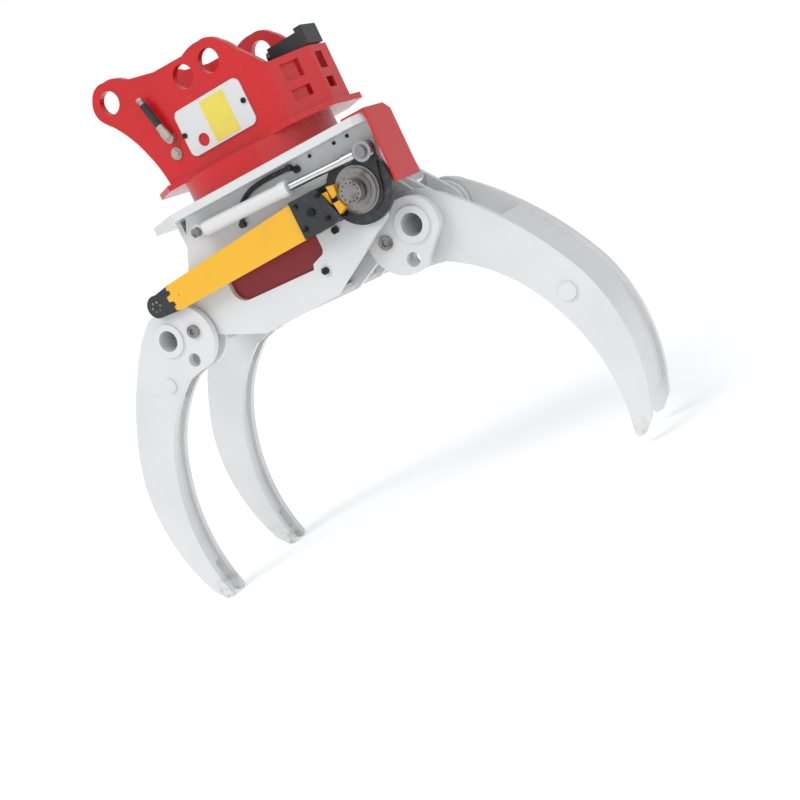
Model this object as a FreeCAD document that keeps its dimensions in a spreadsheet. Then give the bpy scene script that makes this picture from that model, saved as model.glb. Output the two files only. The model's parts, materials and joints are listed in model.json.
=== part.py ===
import FreeCAD, Part
import math
import os

import Sketcher

# Log grapple with a hydraulic bar saw, for the stick of a 20 t excavator. Lengths in mm, angles in degrees.
# Sizes are given from the slew axis at the height of the tine pivots; origin_x and origin_z move every
# part so that the stick pin's bore is at the origin. X runs along the stick, Y across it, Z up.

os.makedirs("parts", exist_ok=True)
doc = FreeCAD.newDocument("log_grapple")
sheet = doc.addObject("Spreadsheet::Sheet", "Sizes")
sizes = {}
finished = []


def size(name, value):
    """Write one driving size in the sheet under its own name."""
    sizes[name] = float(value)
    row = len(sizes)
    sheet.set(f"A{row}", name)
    sheet.set(f"B{row}", f"{value}")
    sheet.setAlias(f"B{row}", name)


def points(prefix, coordinates):
    """Write a row of corners in the sheet; the third entry is the radius of the arc that ends there."""
    names = []
    for number, values in enumerate(coordinates, 1):
        entry = []
        for axis, number_or_name in zip(("h", "v", "radius"), values):
            name = number_or_name
            if not isinstance(number_or_name, str):
                name = f"{prefix}_{axis}_{number}"
                size(name, number_or_name)
            entry.append(name)
        names.append(tuple(entry))
    return names


def terms(text):
    """Split a sum of size names into signed parts."""
    sign = 1
    parts = []
    for word in text.replace("-", " - ").replace("+", " + ").split():
        if word in "+-":
            sign = -1 if word == "-" else 1
        else:
            parts.append((sign, word))
            sign = 1
    return parts


def value(text):
    return sum(sign * (float(word) if word.isdigit() else sizes[word]) for sign, word in terms(text))


def formula(text):
    """The same sum as an expression on the sheet's cells."""
    return " ".join(("- " if sign < 0 else "+ ") + (word if word.isdigit() else f"Sizes.{word}")
                    for sign, word in terms(text)).removeprefix("+ ")


def bind(item, prop, text):
    item.setExpression(prop, formula(text))


def place(item, x="0", y="0", z="0", axis=(0, 1, 0), angle="0"):
    """Put an item at a place given from the slew axis, turned about one axis."""
    item.Placement = FreeCAD.Placement(
        FreeCAD.Vector(value(x) + sizes["origin_x"], value(y), value(z) + sizes["origin_z"]),
        FreeCAD.Rotation(FreeCAD.Vector(*axis), value(angle)))
    bind(item, "Placement.Base.x", f"{x} + origin_x")
    bind(item, "Placement.Base.y", y)
    bind(item, "Placement.Base.z", f"{z} + origin_z")
    if angle != "0":
        bind(item, "Placement.Rotation.Angle", angle)


def node(item, name):
    item.Label = name
    finished.append(item)
    return item


def new_body(name, **where):
    body = doc.addObject("PartDesign::Body", name)
    body.AllowCompound = True
    place(body, **where)
    return body


def new_sketch(body, role, offset="0"):
    """A sketch on one of the body's own planes, moved along the plane's normal."""
    sketch = body.newObject("Sketcher::SketchObject", "Sketch")
    plane = [feature for feature in body.Origin.OriginFeatures if feature.Role == role][0]
    sketch.AttachmentSupport = [(plane, "")]
    sketch.MapMode = "FlatFace"
    sketch.AttachmentOffset = FreeCAD.Placement(FreeCAD.Vector(0, 0, value(offset)), FreeCAD.Rotation())
    bind(sketch, "AttachmentOffset.Base.z", offset)
    return sketch


def pin_down(sketch, geometry, end, h, v):
    """Hold one point of the sketch at the given distances from the sketch's origin."""
    for kind, text in (("DistanceX", h), ("DistanceY", v)):
        index = sketch.addConstraint(Sketcher.Constraint(kind, -1, 1, geometry, end, value(text)))
        bind(sketch, f"Constraints[{index}]", text)


def minus(text, side):
    return text if side > 0 else " ".join(("+" if sign < 0 else "-") + " " + word
                                          for sign, word in terms(text))


def outline(sketch, corners, side=1):
    """A closed outline of lines and arcs; side -1 mirrors it left to right."""
    ends = []
    for number, corner in enumerate(corners):
        h0, v0 = (value(text) for text in corners[number - 1][:2])
        h1, v1 = (value(text) for text in corner[:2])
        h0, h1 = side * h0, side * h1
        start = FreeCAD.Vector(h0, v0)
        stop = FreeCAD.Vector(h1, v1)
        if len(corner) == 2:
            geometry = sketch.addGeometry(Part.LineSegment(start, stop), False)
            first, last = 1, 2
        else:
            radius = side * value(corner[2])
            chord = stop.sub(start)
            rise = math.sqrt(radius ** 2 - chord.Length ** 2 / 4) / chord.Length
            turn = math.copysign(rise, radius)
            centre = FreeCAD.Vector((h0 + h1) / 2 - chord.y * turn, (v0 + v1) / 2 + chord.x * turn)
            first, last = (1, 2) if radius > 0 else (2, 1)
            begin, finish = (start, stop) if radius > 0 else (stop, start)
            circle = Part.Circle(centre, FreeCAD.Vector(0, 0, 1), abs(radius))
            angles = [math.atan2(p.y - centre.y, p.x - centre.x) for p in (begin, finish)]
            geometry = sketch.addGeometry(Part.ArcOfCircle(circle, *angles), False)
            index = sketch.addConstraint(Sketcher.Constraint("Radius", geometry, abs(radius)))
            bind(sketch, f"Constraints[{index}]", minus(corner[2], 1 if value(corner[2]) > 0 else -1))
        ends.append((geometry, first, last))
    for number, (geometry, first, last) in enumerate(ends):
        following = ends[(number + 1) % len(ends)]
        sketch.addConstraint(Sketcher.Constraint("Coincident", geometry, last, following[0], following[1]))
        corner = corners[number]
        pin_down(sketch, geometry, last, minus(corner[0], side), corner[1])


def circle(sketch, h, v, radius, side=1):
    centre = FreeCAD.Vector(side * value(h), value(v))
    geometry = sketch.addGeometry(Part.Circle(centre, FreeCAD.Vector(0, 0, 1), value(radius)), False)
    pin_down(sketch, geometry, 3, minus(h, side), v)
    index = sketch.addConstraint(Sketcher.Constraint("Radius", geometry, value(radius)))
    bind(sketch, f"Constraints[{index}]", radius)


def rectangle(sketch, left, right, bottom, top):
    outline(sketch, [(left, bottom), (right, bottom), (right, top), (left, top)])


def pad(body, sketch, length, kind="PartDesign::Pad"):
    feature = body.newObject(kind, kind.split("::")[1])
    feature.Profile = sketch
    bind(feature, "Length", length)
    sketch.Visibility = False
    return feature


def plate(body, outer, thickness, corners, holes=(), side=1, far=False):
    """Add a plate that stands across Y; its outer face is on the near or the far side."""
    sketch = new_sketch(body, "XZ_Plane", minus(outer, -1) if far else f"{outer} {minus(thickness, -1)}")
    if corners:
        outline(sketch, corners, side)
    for hole in holes:
        circle(sketch, *hole, side=side)
    return pad(body, sketch, thickness)


def turned(name, corners, where, axis="V_Axis", role="XY_Plane", side=1):
    """A body turned about one of its own axes from a closed half outline."""
    body = new_body(name, **where)
    sketch = new_sketch(body, role)
    outline(sketch, corners, side)
    feature = body.newObject("PartDesign::Revolution", "Revolution")
    feature.Profile = sketch
    feature.ReferenceAxis = (sketch, [axis])
    feature.Angle = 360
    sketch.Visibility = False
    return node(body, name)


def ring_corners(inner, outer, low, high):
    return [(inner, low), (outer, low), (outer, high), (inner, high)]


def round_edges(body, feature, spots, radius, direction=(0, 1, 0), kind="PartDesign::Fillet", prop="Radius"):
    """Round or chamfer the edges that run in one direction through the given places of the body."""
    doc.recompute([feature])
    along = FreeCAD.Vector(*direction)
    chosen = []
    for number, edge in enumerate(feature.Shape.Edges, 1):
        if len(edge.Vertexes) < 2 or edge.Curve.TypeId != "Part::GeomLine":
            continue
        if edge.Curve.Direction.cross(along).Length > 1e-6:
            continue
        middle = edge.CenterOfMass
        across = middle.sub(along * middle.dot(along))
        for spot in spots:
            if across.sub(FreeCAD.Vector(*spot)).Length < 1e-3:
                chosen.append(f"Edge{number}")
    blend = body.newObject(kind, kind.split("::")[1])
    blend.Base = (feature, chosen)
    setattr(blend, prop, value(radius))
    bind(blend, prop, radius)
    return blend


def corner_spots(corners, wanted, side=1):
    """Places of the wanted corners of an outline that stands across Y."""
    return [(side * value(corners[n][0]), 0, value(corners[n][1])) for n in wanted]


def along_y(item):
    item.Placement.Rotation = FreeCAD.Rotation(FreeCAD.Vector(1, 0, 0), -90)


def across_pin(x, z, near, length, radius):
    """A plain round bar along Y that starts at its near end."""
    bar = doc.addObject("Part::Cylinder", "Bar")
    place(bar, x, near, z)
    along_y(bar)
    bind(bar, "Radius", radius)
    bind(bar, "Height", length)
    return bar


def block(x, y, z, length, width, height):
    box = doc.addObject("Part::Box", "Block")
    place(box, x, y, z)
    for prop, text in (("Length", length), ("Width", width), ("Height", height)):
        bind(box, prop, text)
    return box


def join(items, kind="Part::MultiFuse"):
    if len(items) == 1:
        return items[0]
    group = doc.addObject(kind, "Group")
    if kind == "Part::Compound":
        group.Links = items
    else:
        group.Shapes = items
    return group


def hex_head(x, z, near, radius, height):
    head = doc.addObject("Part::Prism", "Hexagon")
    head.Polygon = 6
    place(head, x, near, z)
    along_y(head)
    bind(head, "Circumradius", radius)
    bind(head, "Height", height)
    return head


# ---------------------------------------------------------------- driving sizes
for entry in (
    ("origin_x", 344), ("origin_z", -810),
    ("clearance", 0.5), ("running_fit", 0.05), ("ring_clearance", 0.3),
    # head
    ("pin_radius", 40), ("stick_x", -344), ("stick_z", 810),
    ("link_rear_x", -32), ("link_rear_z", 757), ("link_front_x", 82), ("link_front_z", 758),
    ("head_gap_half", 160), ("head_plate", 25), ("flange_low", 451), ("flange_plate", 20),
    ("flange_half_x", 385), ("flange_half_y", 205), ("flange_end_half", 105), ("flange_side_half", 270),
    ("box_top", 660), ("box_wall", 8), ("box_front_x", 370), ("box_front_half", 60), ("box_back_x", 264),
    ("window_left", 42), ("window_right", 111), ("window_a_low", 579), ("window_a_high", 636),
    ("window_b_low", 513), ("window_b_high", 548), ("side_window_half", 24), ("side_window_mid", -20),
    ("cross_x", -215), ("cross_plate", 20), ("cross_top", 650),
    ("drum_radius", 279), ("drum_wall", 15), ("drum_lift", 1),
    ("outer_ring_high", 430), ("outer_ring_low", 372),
    # access cover and fittings on the near side plate
    ("cover_plate", 6), ("cover_left", -131), ("cover_right", 153), ("cover_low", 510), ("cover_high", 671),
    ("cover_corner", 24), ("cover_hole_x", -63), ("cover_hole_z", 547), ("cover_hole", 22),
    ("cover_screw_x", 131), ("cover_screw_z", 2), ("cover_screw_mid_x", 8), ("cover_screw_mid_z", 590),
    ("screw_head", 9), ("screw_height", 5),
    ("label_plate", 1), ("label_left", -19), ("label_right", 83), ("label_low", 518), ("label_high", 659),
    ("elbow_x", -173), ("elbow_z", 604), ("elbow_radius", 17), ("elbow_reach", 26), ("inlet_tilt", -14),
    ("collar_radius", 15), ("collar_start", 26), ("collar_end", 52), ("sleeve_radius", 13),
    ("sleeve_end", 142), ("coupler_radius", 9), ("coupler_step", 12), ("coupler_end", 166),
    ("plug_x", -187), ("plug_z", 552), ("plug_radius", 21), ("plug_height", 16), ("plug_cap", 15),
    # slewing drive
    ("ring_outer", 247), ("ring_root", 226), ("ring_tip", 209), ("ring_high", 420), ("teeth", 48),
    ("tooth_root_half", 8), ("tooth_tip_half", 3.5), ("pinion_x", 180), ("pinion_root", 27),
    ("pinion_tip", 43), ("pinion_teeth", 8), ("pinion_low", 375), ("pinion_high", 415),
    ("pinion_foot_half", 7), ("pinion_tip_half", 3), ("pinion_shaft", 18), ("pinion_top", 500),
    ("shaft_opening", 46), ("motor_flange_half", 75), ("motor_flange_high", 487), ("motor_radius", 52),
    ("motor_top", 664), ("motor_waist_z", 540), ("motor_waist", 46), ("motor_bolt", 60),
    ("motor_bolt_radius", 10), ("motor_bolt_height", 10),
    ("port_drum_length", 26), ("port_left", 224), ("port_length", 122), ("port_cap", 30), ("port_near", -58),
    ("port_depth", 90), ("port_height", 52), ("port_rib", 6), ("port_drum", 25),
    ("port_y", -13),
    # slewing frame
    ("top_low", 342), ("top_plate_thick", 27), ("top_opening", 150),
    ("pivot_x", 495), ("lug_near", 100), ("lug_plate", 24), ("lug_bore", 70),
    ("side_near", 250), ("side_plate_thick", 20), ("wall_x", 290), ("wall_plate", 20), ("wall_low", 60),
    ("floor_left", 150), ("floor_right", 160), ("floor_low", -100), ("floor_plate", 15),
    ("tank_left", -206), ("tank_right", 211), ("tank_low", -10), ("tank_high", 165), ("tank_depth", 118),
    ("tank_corner", 38), ("bolt_height", 12), ("bolt_radius", 13), ("small_screw", 6),
    ("small_screw_height", 4), ("ring_bolt_circle", 235), ("ring_bolt_radius", 9),
    ("guard_x", 566), ("guard_sheet", 8), ("guard_near", 313), ("guard_far", 139), ("guard_low", 137),
    ("guard_top", 377), ("guard_strip_x", 486), ("guard_fold_y", 36), ("guard_fold_z", 22),
    # tines
    ("tube_radius", 60), ("tube_bore", 37.5), ("tube_overhang", 8),
    ("left_ear_near", 285), ("left_ear_plate", 25), ("left_inner_near", 215), ("left_inner_plate", 20),
    ("right_ear_near", 189), ("right_ear_plate", 25), ("right_arm_near", 130), ("right_arm_plate", 24),
    ("hub_boss", 80), ("left_lean", 6), ("crank_reach", 130), ("crank_lean", 20), ("crank_near", 74),
    ("crank_plate", 22), ("crank_hub", 86), ("crank_eye", 42), ("crank_pin", 25), ("crank_side_gap", 2),
    ("ear_bolt_h", 112), ("ear_bolt_v", -18), ("ear_bolt", 23), ("ear_bolt_height", 10),
    ("ear_bolt_socket", 12), ("ear_bolt_socket_depth", 7), ("ear_hole_h", 50), ("ear_hole_v", -102),
    ("ear_hole", 24), ("left_pad_h", 98), ("left_pad_v", -133), ("left_pad", 25), ("left_pad_height", 6),
    ("right_pad_h", 355), ("right_pad_v", -390), ("right_pad", 29), ("right_pad_height", 9),
    # grapple cylinder
    ("barrel_neck", 32), ("barrel_radius", 49), ("barrel_bore", 40), ("barrel_start", 60),
    ("barrel_end", 640),
    ("barrel_eye", 44), ("barrel_cap", 85), ("gland_radius", 54),
    ("gland_end", 680), ("gland_start", 625), ("rod_radius", 28), ("piston_start", 300),
    ("piston_end", 345), ("rod_eye", 46), ("rod_eye_gap", 4.2), ("rod_neck", 34),
    # bar saw
    ("saw_x", 422), ("saw_z", 170), ("housing_radius", 114), ("housing_depth", 22),
    ("saw_shaft", 14), ("motor_pan", 56), ("motor_pan_depth", 36),
    ("arm_plate", 8), ("arm_hub", 84), ("arm_eye", 30),
    ("eye_x", 503), ("eye_z", 265), ("rod_line", 300), ("eye_half", 10), ("eye_radius", 32),
    ("eye_bearing", 23), ("eye_pin", 11), ("eye_pin_head", 17), ("eye_pin_head_height", 11.5),
    ("eye_spacer", 17), ("ring_a", 76), ("ring_b", 68), ("ring_c", 53), ("ring_a_height", 7.5),
    ("ring_b_height", 8), ("ring_c_height", 6), ("clamp_back_plate", 21.5), ("bar_plate", 8),
    ("clamp_plate", 15), ("clamp_bolt_x", 262), ("clamp_bolt_z", 169), ("clamp_bolt", 13),
    ("clamp_bolt_height", 8), ("clamp_small_x", 45), ("clamp_small_z", 38), ("clamp_small", 8),
    ("tail_height", 24), ("nose_plate", 10), ("nose_lip", 1), ("nose_x", -457), ("nose_z", 122),
    ("hole_x", -348), ("hole_z", 127), ("rivet_radius", 4.5), ("rivet_circle", 17), ("rivet_height", 2),
    ("bar_hole", 5), ("sprocket_radius", 38), ("sprocket_plate", 27), ("sprocket_lift", 9),
    ("sprocket_neck", 24), ("sprocket_hole", 3), ("sprocket_hole_circle", 29), ("sprocket_hole_depth", 6),
    ("sprocket_holes", 12),
    # saw cylinder
    ("saw_barrel_x", -165), ("saw_barrel_z", 281), ("saw_barrel", 24), ("saw_barrel_bore", 18),
    ("saw_barrel_start", 26), ("saw_barrel_end", 380), ("saw_gland", 27), ("saw_gland_start", 362),
    ("saw_eye", 25), ("saw_eye_half", 13), ("stud_radius", 12), ("stud_collar", 20), ("stud_head", 17),
    ("stud_head_height", 17.5), ("saw_rod", 13), ("saw_piston_start", 290), ("saw_piston_end", 310),
    ("saw_neck", 17), ("rivets", 6),
    ("fitting_radius", 17), ("fitting_start", 594), ("hose_radius", 8), ("hose_y", -262),
    ("union_radius", 11), ("union_height", 6),
):
    size(*entry)

head_side = points("head_side", (
    (-268, 471), (264, 471), (264, 663), (230, 704), (189, 750), (146, 801, 150), (78, 828, 74),
    (-2, 815, 150), (-131, 820), (-245, 847), (-331, 878, 105), (-405, 846, 66), (-411, 775, 66),
    (-377, 737, 190), (-295, 593, -420), (-268, 480, -420)))
top_outline = points("top_outline", (
    (-217, -335), (528, -335), (566, -290), (566, -139), (404, 60), (404, 200), (217, 335), (-217, 335),
    (-404, 200), (-404, -200)))
lug_outline = points("lug", (
    (-165, -116), (165, -116), (273, -66), (340, -44), (430, -65), (587, 0, 92), (508, 91, 92),
    (471, 144), (440, 342), (-345, 342), (-445, 144), (-508, 91), (-587, 0, 92), (-430, -65, 92),
    (-340, -44), (-273, -66)))
side_outline = points("side_plate", (
    (-140, -119), (167, -104), (453, 53), (505, 150), (540, 342), (-231, 342), (-307, 198), (-392, 72),
    (-400, -30), (-335, -48)))
back_outline = points("back_plate", (
    (-140, -119), (140, -119), (335, -48), (400, -30), (392, 72), (307, 198), (231, 342), (-231, 342),
    (-307, 198), (-392, 72), (-400, -30), (-335, -48)))
slot_outline = points("slot", (
    (-193, 140), (-193, 60), (-141, 8, 52), (134, 4), (141, 22), (177, 34), (197, 56, 24), (197, 140)))
size("ear_radius", 120)
arm_outline = points("arm", (
    (-40, -144.6, "ear_radius"), (22, -153), (298, -433, -569), (358, -887, -687), (369, -902),
    (391, -898), (428, -857), (426, -354, 652), (106, 49, 1216), (62, 78.5), (0, 100, 100), (-58, 94),
    (-178, -26, 120)))
core_outline = points("core", (
    (120, -191), (310, -427, -583), (387, -760, -701), (434, -800), (413, -360, 638), (235, -94, 1202)))
ear_outline = points("ear", (
    (-40, -144.6, "ear_radius"), (-18, -139), (78, -45), (0, 90, 90), (-58, 94), (-178, -26, 120)))
saw_arm_outline = points("saw_arm", (
    (224, 106), (350, 106), (422, 86), (506, 170, 84), (533, 262), (488, 291, 30), (422, 254), (350, 232),
    (224, 224)))
clamp_outline = points("clamp", ((199, 101), (249, 100), (352, 112), (307, 229), (198, 228)))
joint_steps = points("bar_joint", (
    (-374, 172), (-388, 168), (-391, 156), (-380, 152), (-383, 140), (-402, 137), (-402, 118), (-383, 114),
    (-380, 100), (-391, 96), (-388, 82), (-371, 77)))
bar_outline = points("bar", ((189, 100), (330, 130), (336, 205), (179, 221))) + joint_steps
nose_outline = points("nose", ((-445, 160.3), (-497, 122, 40), (-462, 82.3, 40))) + joint_steps[::-1]
tail_upper = points("tail_upper", ((347, 177), (367, 183), (371, 214), (344, 219)))
tail_lower = points("tail_lower", ((349, 124), (377, 137), (366, 164), (343, 164)))
base_bolts = points("base_bolt", ((242, 314), (272, 89), (174, -14)))
base_screws = points("base_screw", ((303, 331), (400, 331), (452, 331)))
crank_outline = [
    ("crank_hub_h", "crank_hub_v", "crank_hub"), ("crank_eye_h", "crank_eye_v"),
    ("- crank_eye_h", "crank_eye_v", "crank_eye"), ("- crank_hub_h", "crank_hub_v"),
    ("0", "- crank_hub", "crank_hub")]
hose_route = points("hose", ((-29, 238), (-6, 294), (50, 324), (130, 331), (220, 328)))
size("hose_bend", 0.45)


def derived(name, expression):
    """A size that the sheet works out from others."""
    row = len(sizes) + 1
    sheet.set(f"A{row}", name)
    sheet.set(f"B{row}", f"={expression}")
    sheet.setAlias(f"B{row}", name)
    doc.recompute()
    result = sheet.get(name)
    sizes[name] = float(getattr(result, "Value", result))


derived("arm_face", "side_near + housing_depth + clearance + arm_plate")
derived("ring_a_face", "arm_face + ring_a_height")
derived("ring_b_face", "ring_a_face + ring_b_height")
derived("ring_c_face", "ring_b_face + ring_c_height")
derived("bar_face", "arm_face + clamp_back_plate + bar_plate")
derived("clamp_face", "bar_face + clamp_plate")
derived("sprocket_back", "ring_c_face + sprocket_lift")
derived("sprocket_face", "sprocket_back + sprocket_plate")
derived("eye_face", "rod_line + eye_half + clearance")
derived("eye_back", "rod_line - eye_half - clearance")
derived("stud_face", "rod_line + saw_eye_half + clearance")
derived("crank_sine", "(crank_hub - crank_eye) / crank_reach")
derived("crank_cosine", "sqrt(1 - crank_sine ^ 2)")
derived("crank_hub_h", "crank_hub * crank_cosine")
derived("crank_hub_v", "crank_hub * crank_sine")
derived("crank_eye_h", "crank_eye * crank_cosine")
derived("crank_eye_v", "crank_reach + crank_eye * crank_sine")
derived("cylinder_eye_half", "crank_near - crank_plate - crank_side_gap")
derived("crank_pin_h", "crank_reach * sin(crank_lean)")
derived("crank_pin_v", "crank_reach * cos(crank_lean)")
derived("saw_reach", "sqrt((eye_x - saw_barrel_x) ^ 2 + (saw_barrel_z - eye_z) ^ 2)")
derived("saw_tilt", "atan((saw_barrel_z - eye_z) / (eye_x - saw_barrel_x))")


# ---------------------------------------------------------------- head, held by the stick pin
bracket = new_body("head_bracket")
flange_edge = new_sketch(bracket, "XY_Plane", "flange_low")
outline(flange_edge, [
    ("- flange_side_half", "- flange_half_y"), ("flange_side_half", "- flange_half_y"),
    ("flange_half_x", "- flange_end_half"), ("flange_half_x", "flange_end_half"),
    ("flange_side_half", "flange_half_y"), ("- flange_side_half", "flange_half_y"),
    ("- flange_half_x", "flange_end_half"), ("- flange_half_x", "- flange_end_half")])
circle(flange_edge, "pinion_x", "0", "shaft_opening")
pad(bracket, flange_edge, "flange_plate")
pin_holes = [("stick_x", "stick_z", "pin_radius"), ("link_rear_x", "link_rear_z", "pin_radius"),
             ("link_front_x", "link_front_z", "pin_radius")]
for is_far in (False, True):
    plate(bracket, "head_gap_half + head_plate", "head_plate", head_side, pin_holes, far=is_far)
box_sketch = new_sketch(bracket, "XY_Plane", "flange_low + flange_plate")
box_end = "head_gap_half + head_plate"
outline(box_sketch, [
    ("box_back_x", f"- {box_end.replace('+', '-')}"), ("box_front_x", "- box_front_half"),
    ("box_front_x", "box_front_half"), ("box_back_x", box_end),
    ("box_back_x - box_wall", f"{box_end} - box_wall"), ("box_back_x - box_wall", "head_gap_half"),
    ("box_front_x - box_wall", "box_front_half - box_wall"),
    ("box_front_x - box_wall", "box_wall - box_front_half"), ("box_back_x - box_wall", "- head_gap_half")])
pad(bracket, box_sketch, "box_top - flange_low - flange_plate")
window_rows = (("window_a_low", "window_a_high"), ("window_b_low", "window_b_high"))
for side in (1, -1):
    window_sketch = new_sketch(bracket, "XZ_Plane", box_end if side > 0 else minus(box_end, side))
    slope = math.atan2(value(box_end) - value("box_front_half"), value("box_front_x") - value("box_back_x"))
    window_sketch.AttachmentOffset = FreeCAD.Placement(
        FreeCAD.Vector(value("box_back_x"), 0, side * value(box_end)),
        FreeCAD.Rotation(FreeCAD.Vector(0, 1, 0), side * math.degrees(slope)))
    bind(window_sketch, "AttachmentOffset.Base.x", "box_back_x")
    for low, high in window_rows:
        rectangle(window_sketch, "window_left", "window_right", low, high)
    cut = pad(bracket, window_sketch, "box_wall + box_wall", "PartDesign::Pocket")
    cut.Reversed = side < 0
side_windows = new_sketch(bracket, "YZ_Plane", "box_front_x")
for low, high in window_rows:
    rectangle(side_windows, "side_window_mid - side_window_half", "side_window_mid + side_window_half",
              low, high)
pad(bracket, side_windows, "box_wall + box_wall", "PartDesign::Pocket")
cross_sketch = new_sketch(bracket, "XZ_Plane", "- head_gap_half")
rectangle(cross_sketch, "cross_x", "cross_x + cross_plate", "flange_low", "cross_top")
pad(bracket, cross_sketch, "head_gap_half + head_gap_half")
node(bracket, "head_bracket")

drum = turned("drum", ring_corners("drum_radius - drum_wall", "drum_radius",
                                   "top_low + top_plate_thick + drum_lift", "flange_low"), {},
              role="XZ_Plane")
turned("slew_ring_outer", ring_corners("ring_outer + ring_clearance", "drum_radius - drum_wall",
                                       "outer_ring_low", "outer_ring_high"), {}, role="XZ_Plane")

cover = new_body("access_cover")
cover_corners = [("cover_left", "cover_low"), ("cover_right", "cover_low"), ("cover_right", "cover_high"),
                 ("cover_left", "cover_high")]
cover_pad = plate(cover, "head_gap_half + head_plate + cover_plate", "cover_plate", cover_corners,
                  [("cover_hole_x", "cover_hole_z", "cover_hole")])
round_edges(cover, cover_pad, corner_spots(cover_corners, range(4)), "cover_corner")
node(cover, "access_cover")

cover_face = "- head_gap_half - head_plate - cover_plate"
screws = []
for side in (1, -1):
    screw_x = minus("cover_screw_x", side) + " + cover_screw_mid_x"
    screw_z = minus("cover_screw_z", side) + " + cover_screw_mid_z"
    screws.append(across_pin(screw_x, screw_z, f"{cover_face} - screw_height", "screw_height", "screw_head"))
node(join(screws, "Part::Compound"), "cover_screws")
node(block("label_left", f"{cover_face} - label_plate", "label_low", "label_right - label_left",
           "label_plate", "label_high - label_low"), "data_plate")

side_face = "- head_gap_half - head_plate"
elbow_post = across_pin("elbow_x", "elbow_z", f"{side_face} - elbow_reach", "elbow_reach", "elbow_radius")
elbow_place = {"x": "elbow_x", "y": f"{side_face} - elbow_reach", "z": "elbow_z", "angle": "inlet_tilt"}
elbow_end = turned("inlet_collar", [("0", "0"), ("elbow_radius", "0"), ("elbow_radius", "collar_start"),
                                    ("collar_radius", "collar_start"), ("collar_radius", "collar_end"),
                                    ("0", "collar_end")], elbow_place, role="XZ_Plane")
finished.pop()
node(join([elbow_post, elbow_end]), "inlet_elbow")
turned("inlet_sleeve", [("0", "collar_end"), ("sleeve_radius", "collar_end"),
                        ("sleeve_radius", "sleeve_end"), ("0", "sleeve_end")], elbow_place, role="XZ_Plane")
turned("inlet_coupler", [("0", "sleeve_end"), ("coupler_radius", "sleeve_end"),
                         ("coupler_radius", "sleeve_end + coupler_step"),
                         ("coupler_step", "sleeve_end + coupler_step"), ("coupler_step", "coupler_end"),
                         ("0", "coupler_end")], elbow_place, role="XZ_Plane")
node(join([hex_head("plug_x", "plug_z", f"{side_face} - plug_height", "plug_cap", "plug_height"),
           across_pin("plug_x", "plug_z", f"{side_face} - screw_height", "screw_height", "plug_radius")]),
     "head_plug")

motor_turned = turned("slew_motor_body", [
    ("pinion_shaft + ring_clearance", "flange_low + flange_plate"),
    ("motor_radius", "flange_low + flange_plate"), ("motor_radius", "motor_waist_z"),
    ("motor_waist", "motor_waist_z"), ("motor_waist", "motor_top - motor_waist"),
    ("motor_radius", "motor_top - motor_waist"), ("motor_radius", "motor_top"), ("0", "motor_top"),
    ("0", "pinion_top + clearance"), ("pinion_shaft + ring_clearance", "pinion_top + clearance")],
    {"x": "pinion_x"}, role="XZ_Plane")
finished.pop()
motor_parts = [
    motor_turned,
    block("port_left", "port_near", "motor_top", "port_length", "port_depth", "port_height"),
    block("port_left + port_length", "port_near - port_rib", "motor_top", "port_cap",
          "port_depth + port_rib + port_rib", "port_height + port_rib + port_rib"),
]
port_drum = doc.addObject("Part::Cylinder", "PortDrum")
place(port_drum, "port_left - port_drum_length", "port_y", "motor_top + port_drum")
port_drum.Placement.Rotation = FreeCAD.Rotation(FreeCAD.Vector(0, 1, 0), 90)
bind(port_drum, "Radius", "port_drum")
bind(port_drum, "Height", "port_drum_length")
node(join(motor_parts + [port_drum]), "slew_motor")
motor_bolts = []
for side_x in (1, -1):
    for side_y in (1, -1):
        head = doc.addObject("Part::Prism", "Hexagon")
        head.Polygon = 6
        place(head, "pinion_x " + ("+" if side_x > 0 else "-") + " motor_bolt",
              minus("motor_bolt", side_y), "flange_low + flange_plate")
        bind(head, "Circumradius", "motor_bolt_radius")
        bind(head, "Height", "motor_bolt_height")
        motor_bolts.append(head)
node(join(motor_bolts, "Part::Compound"), "motor_bolts")

# ---------------------------------------------------------------- slewing pinion
pinion = new_body("slew_pinion", x="pinion_x")
pinion_core = new_sketch(pinion, "XY_Plane", "pinion_low")
circle(pinion_core, "0", "0", "pinion_root")
pad(pinion, pinion_core, "pinion_high - pinion_low")
pinion_stem = new_sketch(pinion, "XY_Plane", "pinion_high")
circle(pinion_stem, "0", "0", "pinion_shaft")
pad(pinion, pinion_stem, "pinion_top - pinion_high")
tooth = new_sketch(pinion, "XY_Plane", "pinion_low")
outline(tooth, [("pinion_root - running_fit - tooth_tip_half", "- pinion_foot_half"),
                ("pinion_tip", "- pinion_tip_half"), ("pinion_tip", "pinion_tip_half"),
                ("pinion_root - running_fit - tooth_tip_half", "pinion_foot_half")])
tooth_pad = pad(pinion, tooth, "pinion_high - pinion_low")


def repeat_round(body, feature, sketch, count, axis="N_Axis"):
    pattern = body.newObject("PartDesign::PolarPattern", "PolarPattern")
    pattern.Originals = [feature]
    pattern.Axis = (sketch, [axis])
    pattern.Angle = 360
    bind(pattern, "Occurrences", count)
    body.Tip = pattern
    return pattern


repeat_round(pinion, tooth_pad, tooth, "pinion_teeth")
node(pinion, "slew_pinion")

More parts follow.
